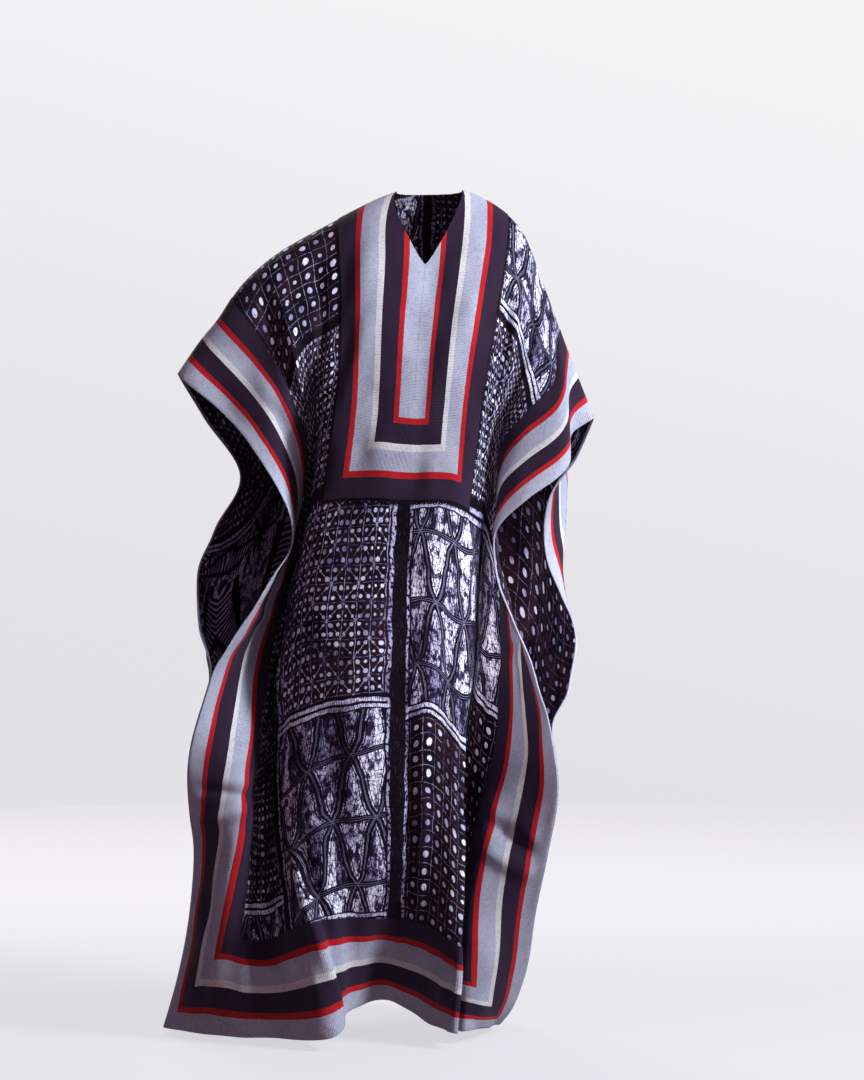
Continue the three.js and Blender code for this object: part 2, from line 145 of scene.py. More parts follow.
backFolds = {
    -570: [
        (0, -435, -60, -330), (120, -395, 20, -405), (250, -335, 70, -500), (400, -385, 80, -605),
        (520, -412, 60, -680), (640, -402, -10, -775), (760, -375, -110, -860),
    ],
    -430: [
        (0, -359, -43, -224), (120, -335, 50, -295), (260, -302, 110, -422), (420, -330, 150, -572),
        (560, -365, 150, -708), (760, -367, 80, -868), (900, -370, 50, -985), (1060, -370, 60, -1108),
        (1230, -378, 100, -1270), (1370, -400, 150, -1400), (1480, -425, 185, -1492),
    ],
    -260: [
        (0, -242, -12, -103), (120, -230, 70, -165), (260, -220, 130, -278), (450, -235, 165, -462),
        (700, -275, 185, -710), (950, -305, 175, -965), (1200, -315, 195, -1222),
        (1480, -315, 250, -1482),
    ],
    -100: [
        (0, -90, 0, -14), (120, -90, 70, -90), (260, -87, 125, -218), (450, -95, 120, -410),
        (700, -112, 110, -665), (950, -138, 130, -920), (1200, -150, 165, -1165),
        (1480, -165, 200, -1448),
    ],
    50: [
        (0, 42, 0, 0), (120, 40, 70, -78), (260, 33, 125, -210), (450, 22, 130, -400),
        (700, 5, 150, -652), (950, -5, 185, -905), (1200, -15, 225, -1160), (1480, -30, 265, -1445),
    ],
    190: [
        (0, 155, 0, -60), (120, 150, 70, -140), (260, 135, 120, -268), (450, 111, 120, -456),
        (700, 87, 115, -710), (950, 73, 125, -955), (1200, 58, 140, -1200), (1480, 40, 165, -1468),
    ],
    330: [
        (0, 208, -12, -187), (120, 210, 65, -252), (260, 205, 115, -368), (450, 197, 165, -548),
        (650, 188, 190, -745), (850, 152, 160, -942), (1100, 124, 175, -1188), (1300, 106, 220, -1375),
        (1480, 92, 258, -1478),
    ],
    440: [
        (0, 243, -28, -285), (120, 246, 40, -342), (260, 242, 95, -458), (450, 235, 130, -640),
        (600, 225, 130, -795), (810, 192, 30, -960), (950, 188, 15, -1095), (1130, 163, 80, -1262),
        (1290, 144, 140, -1392), (1480, 112, 192, -1492),
    ],
    570: [
        (0, 290, -30, -405), (100, 262, 30, -475), (200, 215, 60, -548), (320, 212, 90, -645),
        (420, 240, 95, -720), (560, 265, 60, -797), (680, 246, -20, -880), (810, 215, -100, -960),
    ],
}
# Lines that stay put when a row is evened out between them.
frontAnchors = (-570, -440, -190, 0, 190, 425, 570)
backAnchors = (-570, -430, -100, 190, 440, 570)

# Creases laid one by one. Columns: s and t of both ends, bow, height (below 0 is a trough), half width.
frontCreases = [
    (-262, 585, -255, 900, 10, 8, 17), (-236, 760, -262, 1210, -8, 6, 14),
    (-160, 600, -150, 860, 6, 4, 26), (-120, 900, -135, 1290, 8, -5, 22),
    (-70, 640, -90, 1180, -6, 3, 32), (-214, 1110, -152, 1484, -8, 11, 12),
    (-182, 1150, -128, 1484, -8, -7, 15), (-95, 1240, -110, 1484, 5, -5, 24),
    (35, 1260, 20, 1484, 4, 5, 22), (60, 610, 72, 960, 8, 4, 26),
    (20, 900, 28, 1420, 6, -9, 15), (52, 930, 58, 1400, 4, 4, 16), (128, 700, 120, 1150, -6, -5, 22),
    (150, 1180, 140, 1478, 4, 4, 18), (186, 600, 188, 1500, 0, 6, 10), (206, 600, 208, 1500, 0, -7, 12),
    (-560, 1000, -410, 1042, 6, -6, 17), (-562, 1085, -420, 1066, -4, 6, 18),
    (420, 1012, 560, 1040, 5, -7, 15), (425, 1058, 560, 1075, -4, 6, 16),
    (-430, 620, -540, 560, 8, 4, 18), (-400, 300, -470, 130, 10, 5, 20),
    (-300, 90, -372, 330, 12, 7, 15), (-345, 60, -425, 260, 12, -5, 16),
    (-215, 70, -250, 360, 10, -7, 17), (-240, 380, -300, 520, -8, 5, 14),
    (215, 70, 262, 330, -10, 7, 14), (192, 150, 205, 500, 6, -6, 13),
    (300, 60, 330, 250, 8, 6, 16), (262, 40, 300, 180, -6, -5, 14), (380, 20, 400, 200, 8, -5, 18),
    (-110, 40, -130, 330, 6, 3, 26), (115, 40, 130, 360, -6, 3, 24), (20, 300, 35, 590, -4, -3, 20),
    (-90, 470, 70, 495, 10, 2, 20), (-140, 400, -60, 380, 6, -2, 24),
    (350, 620, 372, 930, 8, 6, 15), (300, 900, 330, 1300, -8, -6, 16),
    (470, 640, 500, 850, 6, 5, 18), (530, 560, 420, 720, 8, -4, 16), (-360, 640, -380, 930, 8, 6, 16),
    (-395, 1120, -370, 1440, -6, 6, 16), (-500, 1180, -470, 1460, 6, -6, 20),
    (-480, 700, -520, 940, -6, 5, 18), (480, 1180, 462, 1450, -6, 5, 18),
    (400, 1130, 392, 1460, 4, -5, 14), (-330, 1330, -240, 1395, 8, 4, 14),
]
backCreases = [
    (-180, 240, -205, 700, 10, 10, 22), (-60, 300, -80, 820, -8, 8, 30),
    (30, 420, 10, 980, 8, -10, 25), (110, 260, 128, 760, -8, 8, 25),
    (-150, 820, -170, 1300, 8, -10, 22), (-20, 940, -10, 1400, -6, 9, 25),
    (95, 1020, 80, 1478, 6, -10, 22), (180, 900, 196, 1380, -8, 10, 20),
    (-262, 110, -330, 420, 12, 10, 19), (240, 100, 290, 420, -12, 10, 19),
    (-330, 620, -350, 1050, 8, 9, 22), (300, 640, 320, 1100, -8, -9, 22),
    (-420, 1080, -560, 1050, 6, -10, 15), (430, 1060, 560, 1030, -6, -10, 15),
    (-400, 1200, -385, 1460, 6, 9, 20), (400, 1240, 412, 1470, -4, 9, 18),
    (-250, 1240, -238, 1484, 6, 14, 16), (250, 1240, 262, 1484, -6, 10, 20),
    (-400, 240, -500, 420, 8, 8, 22), (410, 240, 490, 420, -8, 8, 22),
    (-120, 60, -60, 160, 8, 4, 25), (120, 60, 60, 160, -8, 4, 25),
    (-300, 980, -180, 1010, 10, -4, 22), (120, 860, 260, 880, -10, -4, 22),
    (-480, 640, -520, 860, -6, 8, 22), (480, 640, 530, 850, 6, 8, 22),
]
ripples = {"waves": 16, "height": 0.42, "longest": 190, "shortest": 48, "seed": 7}


# The cloth is worked out on a net of lines 5 mm apart, padded by a few lines on each side.
net = {"step": 5, "pad": 4, "shoulderReach": 110, "shoulderSlope": -0.2, "creaseStart": 45, "seamReach": 40}
netAcross = np.arange(-cloth["halfWidth"], cloth["halfWidth"] + 1, net["step"], dtype=float)
netDown = np.arange(0, cloth["length"] + 1, net["step"], dtype=float)


def slopesOf(at, points, start=None, end=None):
    gap = np.diff(at)[:, None, None]
    chord = np.diff(points, axis=0) / gap
    slope = np.empty_like(points)
    slope[1:-1] = (chord[:-1] * gap[1:] + chord[1:] * gap[:-1]) / (gap[1:] + gap[:-1])
    slope[0] = 1.5 * chord[0] - 0.5 * slope[1] if start is None else start
    slope[-1] = 1.5 * chord[-1] - 0.5 * slope[-2] if end is None else end
    return slope


# Curves side by side: points and slopes are (knots, curves, 3), values are (places, curves).
def curvesAt(at, points, slopes, values):
    k = np.clip(np.searchsorted(at, values) - 1, 0, len(at) - 2)
    each = np.arange(points.shape[1])
    gap = (at[k + 1] - at[k])[..., None]
    u = (values - at[k])[..., None] / gap
    near = (2 * u**3 - 3 * u**2 + 1) * points[k, each] + (u**3 - 2 * u**2 + u) * gap * slopes[k, each]
    far = (3 * u**2 - 2 * u**3) * points[k + 1, each] + (u**3 - u**2) * gap * slopes[k + 1, each]
    return near + far


def foldAt(rows, values, start=None, end=None):
    table = np.array(rows, float)
    at, points = table[:, 0], table[:, None, 1:]
    return curvesAt(at, points, slopesOf(at, points, start, end), values[:, None])[:, 0]


# A panel's edge: its own down to the foot of the armhole, then the side seam that both panels share.
def edgeAt(freeRows, seamRows, values, start):
    foot, below = np.array(seamRows[:2], float)
    footSlope = (below[1:] - foot[1:]) / (below[0] - foot[0])
    free = foldAt(freeRows, values, start, footSlope)
    seam = foldAt(seamRows, values, footSlope)
    return np.where((values < foot[0])[:, None], free, seam)


# Slides the points of each row along it until the cloth between two anchors is evenly spread.
def evenedRows(at, points, anchors, wanted):
    slopes = slopesOf(at, points)
    rows = points.shape[1]
    places = np.empty((len(wanted), rows))
    for left, right in zip(anchors, anchors[1:]):
        fine = np.linspace(left, right, round((right - left) / net["step"]) + 1)
        line = curvesAt(at, points, slopes, np.repeat(fine[:, None], rows, axis=1))
        steps = np.linalg.norm(np.diff(line, axis=0), axis=2)
        length = np.vstack([np.zeros(rows), np.cumsum(steps, axis=0)])
        inside = (wanted >= left) & (wanted <= right)
        share = (wanted[inside] - left) / (right - left)
        for row in range(rows):
            places[inside, row] = np.interp(share * length[-1, row], length[:, row], fine)
    return curvesAt(at, points, slopes, places)


# The points of a panel on the net. side is -1 for the front and 1 for the back.
def drape(folds, anchors, side):
    start = np.array([0, side, net["shoulderSlope"]])
    lines = []
    for s, rows in folds.items():
        if s == -cloth["halfWidth"]:
            lines.append(edgeAt(rows, leftSeam, netDown, start))
        elif s == cloth["halfWidth"]:
            lines.append(edgeAt(rows, rightSeam, netDown, start))
        else:
            lines.append(foldAt(rows, netDown, start))
    hung = evenedRows(np.array(list(folds), float), np.stack(lines), anchors, netAcross)
    settle = np.clip(1 - netDown / net["shoulderReach"], 0, None) ** 2
    return hung + settle[:, None] * (foldAt(shoulderLine, netAcross) - hung[:, 0])[:, None]


def outward(points, side):
    along = np.gradient(points, axis=0)
    down = np.gradient(points, axis=1)
    normal = side * np.cross(along, down)
    return normal / np.linalg.norm(normal, axis=2, keepdims=True)


def smoothStep(low, high, value):
    u = np.clip((value - low) / (high - low), 0, 1)
    return u * u * (3 - 2 * u)


def creaseHeight(creases, s, t):
    height = np.zeros(np.broadcast(s, t).shape)
    for s0, t0, s1, t1, bow, depth, halfWidth in creases:
        length = math.hypot(s1 - s0, t1 - t0)
        along = ((s - s0) * (s1 - s0) + (t - t0) * (t1 - t0)) / length**2
        beside = ((s - s0) * (t1 - t0) - (t - t0) * (s1 - s0)) / length
        middle = bow * 4 * along * (1 - along)
        off = (beside - middle) / halfWidth
        ends = smoothStep(-0.08, 0.3, along) * smoothStep(1.08, 0.7, along)
        height += depth * ends * (1 - 0.45 * off**2) * np.exp(-0.6 * off**2)
    return height


def rippleHeight(s, t, seed):
    draw = np.random.default_rng(seed)
    height = np.zeros(np.broadcast(s, t).shape)
    for _ in range(ripples["waves"]):
        turn = draw.uniform(-1.1, 1.1)
        wave = draw.uniform(ripples["shortest"], ripples["longest"])
        phase = draw.uniform(0, 2 * math.pi)
        height += np.sin((s * math.cos(turn) + t * math.sin(turn) * 0.6) * 2 * math.pi / wave + phase)
    return height * ripples["height"]


def creased(points, side, creases, footLeft, footRight):
    s, t = netAcross[:, None], netDown[None, :]
    height = creaseHeight(creases, s, t) + rippleHeight(s, t, ripples["seed"] + side)
    foot = np.where(s < 0, footLeft, footRight)
    onSeam = smoothStep(foot - net["seamReach"], foot, t)
    nearEdge = smoothStep(cloth["halfWidth"] - net["seamReach"], cloth["halfWidth"], np.abs(s))
    height *= smoothStep(0, net["creaseStart"], t) * (1 - onSeam * nearEdge)
    return points + height[..., None] * outward(points, side)


# Both panels as padded nets of points and outward normals, which agree along the shoulder line.
def hungPanels():
    fronts = creased(drape(frontFolds, frontAnchors, -1), -1, frontCreases, leftSeam[0][0], rightSeam[0][0])
    backs = creased(drape(backFolds, backAnchors, 1), 1, backCreases, leftSeam[0][0], rightSeam[0][0])
    frontNormal, backNormal = outward(fronts, -1), outward(backs, 1)
    shared = frontNormal[:, :1] + backNormal[:, :1]
    blend = smoothStep(0, 30, netDown)[None, :, None]
    panels = {}
    for name, points, normal in (("front", fronts, frontNormal), ("back", backs, backNormal)):
        normal = shared / np.linalg.norm(shared, axis=2, keepdims=True) * (1 - blend) + normal * blend
        edges = ((net["pad"],) * 2, (net["pad"],) * 2, (0, 0))
        panels[name] = {
            "points": np.pad(points, edges, mode="reflect", reflect_type="odd"),
            "normals": np.pad(normal, edges, mode="edge"),
        }
    return panels


hung = hungPanels()
print("cloth draped")


def cubicWeights(u):
    return (
        -0.5 * u + u**2 - 0.5 * u**3,
        1 - 2.5 * u**2 + 1.5 * u**3,
        0.5 * u + 2 * u**2 - 1.5 * u**3,
        -0.5 * u**2 + 0.5 * u**3,
    )


# Points at s, t and a height above the cloth's inner face, in metres.
def hang(panel, s, t, height):
    column = (s + cloth["halfWidth"]) / net["step"] + net["pad"]
    row = t / net["step"] + net["pad"]
    i, j = np.floor(column).astype(int), np.floor(row).astype(int)
    across, down = cubicWeights(column - i), cubicWeights(row - j)
    point, normal = np.zeros((len(s), 3)), np.zeros((len(s), 3))
    for a in range(4):
        for b in range(4):
            weight = (across[a] * down[b])[:, None]
            point += weight * hung[panel]["points"][i + a - 1, j + b - 1]
            normal += weight * hung[panel]["normals"][i + a - 1, j + b - 1]
    normal /= np.linalg.norm(normal, axis=1, keepdims=True)
    return (point + height[:, None] * normal) * mm

# Materials. Patterns are worked out in the cloth's own millimetres.


def colour(red, green, blue):
    channels = [value / 255 for value in (red, green, blue)]
    return (*[c / 12.92 if c < 0.04045 else ((c + 0.055) / 1.055) ** 2.4 for c in channels], 1)


class Wire:  # a number in a node tree, so that a pattern can be written as a sum
    def __init__(self, tree, socket):
        self.tree, self.socket = tree, socket

    def math(self, kind, *others):
        node = self.tree.nodes.new("ShaderNodeMath")
        node.operation = kind
        for slot, value in zip(node.inputs, (self, *others)):
            if isinstance(value, Wire):
                self.tree.links.new(value.socket, slot)
            else:
                slot.default_value = value
        return Wire(self.tree, node.outputs[0])

    def __add__(self, other):
        return self.math("ADD", other)

    def __sub__(self, other):
        return self.math("SUBTRACT", other)

    def __mul__(self, other):
        return self.math("MULTIPLY", other)

    def __truediv__(self, other):
        return self.math("DIVIDE", other)

    def __pow__(self, other):
        return self.math("POWER", other)

    def floor(self):
        return self.math("FLOOR")

    def abs(self):
        return self.math("ABSOLUTE")

    def least(self, other):
        return self.math("MINIMUM", other)

    def most(self, other):
        return self.math("MAXIMUM", other)

    def flip(self):  # 1 - value
        return self * -1 + 1

    def sine(self):
        return self.math("SINE")


# 1 where the value is below the edge, 0 above it, with a soft step between them.
def under(value, edge, soft):
    node = value.tree.nodes.new("ShaderNodeMapRange")
    node.interpolation_type = "SMOOTHSTEP"
    value.tree.links.new(value.socket, node.inputs["Value"])
    for name, number in (("From Min", edge + soft), ("From Max", edge - soft)):
        node.inputs[name].default_value = number
    return Wire(value.tree, node.outputs["Result"])


def joined(tree, x, y):
    node = tree.nodes.new("ShaderNodeCombineXYZ")
    for slot, value in (("X", x), ("Y", y)):
        tree.links.new(value.socket, node.inputs[slot])
    return node.outputs[0]


def noise(tree, x, y, detail=2, rough=0.5):
    node = tree.nodes.new("ShaderNodeTexNoise")
    node.noise_dimensions = "2D"
    node.inputs["Scale"].default_value = 1
    node.inputs["Detail"].default_value = detail
    node.inputs["Roughness"].default_value = rough
    tree.links.new(joined(tree, x, y), node.inputs["Vector"])
    return Wire(tree, node.outputs["Fac"])


def chance(tree, x, y):
    node = tree.nodes.new("ShaderNodeTexWhiteNoise")
    node.noise_dimensions = "2D"
    tree.links.new(joined(tree, x, y), node.inputs["Vector"])
    return Wire(tree, node.outputs["Value"])


def cracks(tree, x, y):  # distance from the nearest crack, in cells
    node = tree.nodes.new("ShaderNodeTexVoronoi")
    node.voronoi_dimensions = "2D"
    node.feature = "DISTANCE_TO_EDGE"
    node.inputs["Scale"].default_value = 1
    tree.links.new(joined(tree, x, y), node.inputs["Vector"])
    return Wire(tree, node.outputs["Distance"])


def mixed(tree, share, first, second):
    node = tree.nodes.new("ShaderNodeMix")
    node.data_type = "RGBA"
    tree.links.new(share.socket, node.inputs["Factor"])
    for slot, value in ((6, first), (7, second)):
        if isinstance(value, tuple):
            node.inputs[slot].default_value = value
        else:
            tree.links.new(value, node.inputs[slot])
    return node.outputs[2]


def newMaterial(name, roughness, gloss, sheen=0.0):
    material = bpy.data.materials.new(name)
    material.use_nodes = True
    tree = material.node_tree
    shader = tree.nodes["Principled BSDF"]
    shader.inputs["Roughness"].default_value = roughness
    shader.inputs["Sheen Weight"].default_value = sheen
    shader.inputs["Sheen Roughness"].default_value = 0.5
    shader.inputs["Specular IOR Level"].default_value = gloss
    return material, tree, shader


def clothPlace(tree):  # the two cloth coordinates in millimetres
    uv = tree.nodes.new("ShaderNodeUVMap")
    uv.uv_map = "cloth"
    parts = tree.nodes.new("ShaderNodeSeparateXYZ")
    tree.links.new(uv.outputs[0], parts.inputs[0])
    return [Wire(tree, parts.outputs[axis]) * 1000 for axis in ("X", "Y")]


def bump(tree, shader, height, depth):
    node = tree.nodes.new("ShaderNodeBump")
    node.inputs["Strength"].default_value = 1
    node.inputs["Distance"].default_value = depth * mm
    tree.links.new(height.socket, node.inputs["Height"])
    tree.links.new(node.outputs[0], shader.inputs["Normal"])


# Striped band: each stripe starts so many millimetres from the band's outer edge.
stripes = {
    "colours": {
        "grey": colour(160, 166, 186), "red": colour(166, 18, 27),
        "navy": colour(36, 20, 45), "white": colour(197, 200, 203),
    },
    "order": [(0, "grey"), (29.5, "red"), (40.5, "navy"), (74.5, "white"), (86.5, "grey"),
              (121.5, "red"), (132.5, "navy")],
    "shadow": (0.4, 0.34, 0.42, 1), "rib": 2.6, "span": 170, "wander": 1.2, "relief": 0.45,
    "roughness": 0.85, "gloss": 0.18, "sheen": 0.04,
}


def makeBandCloth():
    look = [stripes[key] for key in ("roughness", "gloss", "sheen")]
    material, tree, shader = newMaterial("stripedBand", *look)
    along, across = clothPlace(tree)
    edgeWander = (noise(tree, along / 40, across / 60) - 0.5) * stripes["wander"]
    ramp = tree.nodes.new("ShaderNodeValToRGB")
    ramp.color_ramp.interpolation = "CONSTANT"
    points = ramp.color_ramp.elements
    while len(points) < len(stripes["order"]):
        points.new(0.5)
    for point, (start, name) in zip(points, stripes["order"]):
        point.position = start / stripes["span"]
        point.color = stripes["colours"][name]
    tree.links.new(((across + edgeWander) / stripes["span"]).socket, ramp.inputs["Fac"])
    ribs = (along * (2 * math.pi / stripes["rib"])).sine() * 0.5 + 0.5
    threads = noise(tree, along / 1.3, across / 7, 3, 0.7)
    slubs = noise(tree, along / 9, across / 1.6, 2, 0.6)
    wear = noise(tree, along / 55, across / 45, 3)
    shade = ribs * 0.22 + threads * 0.5 + slubs * 0.3 + wear * 0.2
    dark = tree.nodes.new("ShaderNodeMix")
    dark.data_type = "RGBA"
    dark.blend_type = "MULTIPLY"
    dark.inputs["Factor"].default_value = 1
    tree.links.new(ramp.outputs["Color"], dark.inputs[6])
    dark.inputs[7].default_value = stripes["shadow"]
    tree.links.new(mixed(tree, under(shade, 0.5, 0.16), ramp.outputs["Color"], dark.outputs[2]),
                   shader.inputs["Base Color"])
    bump(tree, shader, ribs * 0.7 + threads * 0.6, stripes["relief"])
    return material


# Resist-dyed squares. Each has its two sides, its top and foot, and what is drawn in it.
printed = {
    "ground": colour(9, 4, 13), "brown": colour(36, 18, 25), "roughness": 0.66, "gloss": 0.07,
    "dye": [(0.1, colour(18, 10, 28)), (0.36, colour(62, 52, 88)), (0.6, colour(140, 140, 180)),
            (0.84, colour(212, 219, 242)), (1, colour(240, 244, 254))],
    "wander": 10, "fray": 12, "weave": 2.9, "relief": 0.25,
    "stars": (26, 33), "dots": (28, 4.2), "largeDots": (36, 4.8),
    "leaf": {"cell": (83, 122), "slope": 0.26, "stem": 6.6, "level": 5.6, "ring": 10.4},
    "fan": {"cell": (230, 270), "source": 250, "wedges": 14, "bar": 11, "spread": 0.45, "ray": 2.6},
    "bars": {"middle": 12.5, "apart": 6.2, "half": 3.9, "room": 25}, "border": 12,
    "sag": (24, 8), "sagWidth": 250,
    "edge": (408, 1316), "placketEdge": (168, 552),
    "front": [
        (-250, -12, 540, 896, "stars"), (-250, -12, 896, 1320, "leaf"),
        (12, 250, 540, 944, "leaf"), (12, 250, 944, 1330, "dots"),
        (-430, -262, 540, 1215, "stars"), (-430, -262, 1215, 1330, "leaf"),
        (262, 430, 540, 830, "leaf"), (262, 430, 830, 1330, "dots"),
        (-430, -150, 215, 530, "stars"), (-430, -150, -20, 205, "dots"),
        (150, 430, -20, 205, "leaf"), (150, 430, 215, 530, "stars"),
    ],
    "back": [
        (-430, -206, -20, 300, "leaf"), (-196, -4, -20, 300, "stars"), (4, 196, -20, 300, "fan"),
        (206, 430, -20, 300, "stars"), (-430, -206, 310, 640, "stars"), (-196, -4, 310, 640, "leaf"),
        (4, 196, 310, 640, "stars"), (206, 430, 310, 640, "leaf"), (-430, -206, 650, 970, "fan"),
        (-196, -4, 650, 970, "dots"), (4, 196, 650, 970, "leaf"), (206, 430, 650, 970, "dots"),
        (-430, -206, 980, 1330, "dots"), (-196, -4, 980, 1330, "leaf"),
        (4, 196, 980, 1330, "stars"), (206, 430, 980, 1330, "fan"),
    ],
    "inside": [
        (-600, -205, -20, 430, "stars"), (-600, -205, 440, 900, "fan"), (-600, -205, 910, 1500, "leaf"),
        (-195, -5, -20, 700, "leaf"), (-195, -5, 710, 1500, "stars"), (5, 195, -20, 700, "stars"),
        (5, 195, 710, 1500, "leaf"), (205, 600, -20, 380, "leaf"), (205, 600, 390, 940, "largeDots"),
        (205, 600, 950, 1500, "leaf"),
    ],
}


# Rows of stars: a net of thin lines, a slanting line in each cell and four dots beside it.
def starDots(tree, s, t):
    wide, tall = printed["stars"]
    column, row = (s / wide).floor(), (t / tall).floor()
    x, y = s / wide - column, t / tall - row
    odd = (column + row).math("FLOORED_MODULO", 2)
    slant = (x + odd * (x * -2 + 1) - y).abs()
    across, down = (x - 0.5).abs(), (y - 0.5).abs()
    upright = under((across.flip() - 0.5) * wide, 0.7, 0.4)
    level = under((down.flip() - 0.5) * tall, 0.55, 0.4) * 0.8
    broken = under(noise(tree, s / 7, t / 7, 2), 0.56, 0.12)
    lines = upright.most(level).most(under(slant * 20, 0.6, 0.4)) * (broken * 0.42 + 0.36)
    column, row = (s / wide * 2).floor(), (t / tall * 2).floor()
    size = chance(tree, column, row) * 2.3 + 2.2
    away = (((across - 0.25) * wide) ** 2 + ((down - 0.25) * tall * 0.92) ** 2) ** 0.5
    bright = chance(tree, row + 0.5, column) * 0.35 + 0.65
    return lines.most(under(away - size, 0, 0.7) * bright)


# A net of squares with a dot in each.
def dotNet(tree, s, t, cell, dot):
    column, row = (s / cell).floor(), (t / cell).floor()
    across, down = (s / cell - column - 0.5).abs(), (t / cell - row - 0.5).abs()
    broken = under(noise(tree, s / 8, t / 8, 2), 0.55, 0.12)
    lines = under((across.most(down).flip() - 0.5) * cell, 0.6, 0.4) * (broken * 0.4 + 0.3)
    size = chance(tree, column, row) * 2.4 + dot
    away = ((across * cell) ** 2 + (down * cell) ** 2) ** 0.5
    return lines.most(under(away - size, 0, 0.9) * (chance(tree, row + 0.5, column) * 0.35 + 0.65))


# Half-drop rows of vase-shaped leaves between double stems, crackled, and streaked by the paste.
def leafRows(tree, s, t, marks):
    leaf = printed["leaf"]
    wide, tall = leaf["cell"]
    rowPlace = (t + s.least(0) * leaf["slope"]) / tall + (s / 30).sine() * 0.06
    row = rowPlace.floor()
    y = rowPlace - row
    place = s / wide + row * 0.5
    column = place.floor()
    out = (place - column - 0.5).abs()
    side = y.flip() ** 4 * 0.25 - y ** 5 * 0.25 + 0.25
    past = (out - side) * wide
    inside, stem = under(past, 0, 1.5), past.abs()
    level = ((y - 0.5).abs().flip() - 0.5) * tall
    tone = chance(tree, column * 3 + inside * 7, row * 5 + inside) ** 1.1 * 0.95 + 0.62
    pale = tone * marks["streaks"] * marks["blotches"] * marks["veins"]
    darkStem = under(stem, leaf["stem"], 1).most(under(level, leaf["level"], 1))
    hair = under((stem - 1).abs(), 0.5, 0.4).most(under((level - 1.9).abs(), 0.45, 0.4))
    ring = under((stem - leaf["ring"]).abs(), 0.9, 0.6) * 0.85
    return (pale * darkStem.flip() * ring.flip()).most(hair * 0.6)


# Rays from one point: streaked wedges between wedges that are filled with nested bars.
def fanRays(tree, s, t, marks):
    fan = printed["fan"]
    wide, tall = fan["cell"]
    x = s - (s / wide).floor() * wide - wide / 2
    y = t - (t / tall).floor() * tall - fan["source"]
    radius = (x ** 2 + y ** 2 + 1) ** 0.5
    angle = y.math("ARCTAN2", x) / (2 * math.pi) * fan["wedges"]
    wedge = angle - angle.floor()
    edge = (wedge - 0.5).abs().flip() - 0.5
    odd = angle.floor().math("FLOORED_MODULO", 2)
    step = radius / fan["bar"]
    bars = under((step - step.floor() - 0.5).abs(), 0.24, 0.07) * under(edge * -1, -0.16, 0.03)
    plain = marks["streaks"] * marks["blotches"] * marks["veins"]
    rays = under(edge * radius * fan["spread"], fan["ray"], 0.8)
    return (bars * odd * 0.8).most(plain * odd.flip()) * rays.flip()


def insideSquare(s, t, square):
    left, right, top, foot = square[:4]
    across = (s - (left + right) / 2).abs() - (right - left) / 2
    down = (t - (top + foot) / 2).abs() - (foot - top) / 2
    return across, down


# Cloth coordinates as cut, and as the drawing lies in them: it wanders, and sags below the placket.
def printPlace(tree):
    flatS, flatT = clothPlace(tree)
    s = flatS + (noise(tree, flatS / 45, flatT / 45) - 0.5) * printed["wander"]
    reach = flatS.abs().least(printed["sagWidth"]) / printed["sagWidth"]
    leftSag, rightSag = printed["sag"]
    sag = reach ** 2 * (under(flatS, 0, 1) * (leftSag - rightSag) + rightSag)
    sag = sag * under(flatT, printed["placketEdge"][1], 20).flip()
    t = flatT + (noise(tree, flatS / 52 + 9, flatT / 38) - 0.5) * printed["wander"] - sag
    return flatS, flatT, s, t


# The marks that the paste leaves in pale cloth.
def pasteMarks(tree, s, t, streaks):
    blotches = noise(tree, s / 15, t / 24, 3, 0.6)
    veins = cracks(tree, s / 8 + streaks, t / 13)
    return {
        "streaks": under(streaks, 0.53, 0.09) * 0.62 + 0.38,
        "blotches": under(blotches, 0.55, 0.08) * 0.7 + 0.3,
        "veins": under(veins, 0.05, 0.03) * -0.75 + 1,
    }


# The squares of a plan, and where their ground is brown. Values that all squares use are worked
# out once, because one shader can hold only so many.
def drawSquares(tree, plan, s, t, marks, fray):
    draw = {
        "stars": lambda: starDots(tree, s, t),
        "dots": lambda: dotNet(tree, s, t, *printed["dots"]),
        "largeDots": lambda: dotNet(tree, s, t, *printed["largeDots"]),
        "leaf": lambda: leafRows(tree, s, t, marks),
        "fan": lambda: fanRays(tree, s, t, marks),
    }
    drawn = {kind: draw[kind]() for kind in sorted({square[4] for square in printed[plan]})}
    rag = fray * 0.3
    blotch = under(noise(tree, s / 5, t / 7, 2), 0.56, 0.08)
    barTone = blotch * 0.3 + under((s * 1.7 + t * 0.3).sine(), 0.1, 0.5) * 0.3 + 0.42
    stripTone = blotch * 0.72
    bars, pattern, brown = printed["bars"], None, None
    for square in printed[plan]:
        across, down = insideSquare(s, t, square)
        inner = under(across.most(down) + rag, -3, 1.5)
        field = drawn[square[4]] * inner
        if square[4] in ("leaf", "fan"):
            pair = (down + bars["middle"]).abs() - bars["apart"]
            pair = under(pair.abs(), bars["half"], 0.7) * under(across, -3, 2)
            strip = under((across + 5.5).abs(), 2.8, 1) * under(down, -3, 2)
            field = field * under(down, -bars["room"], 1) * under(across, -printed["border"], 1.5)
            field = field.most(strip * stripTone).most(pair * barTone)
        else:
            strip = under((across + 6).abs(), 3.6, 1) * under(down, -3, 2)
            field = (field * under(across, -printed["border"], 1)).most(strip * stripTone)
            brown = inner if brown is None else brown.most(inner)
        pattern = field if pattern is None else pattern.most(field)
    return pattern, brown


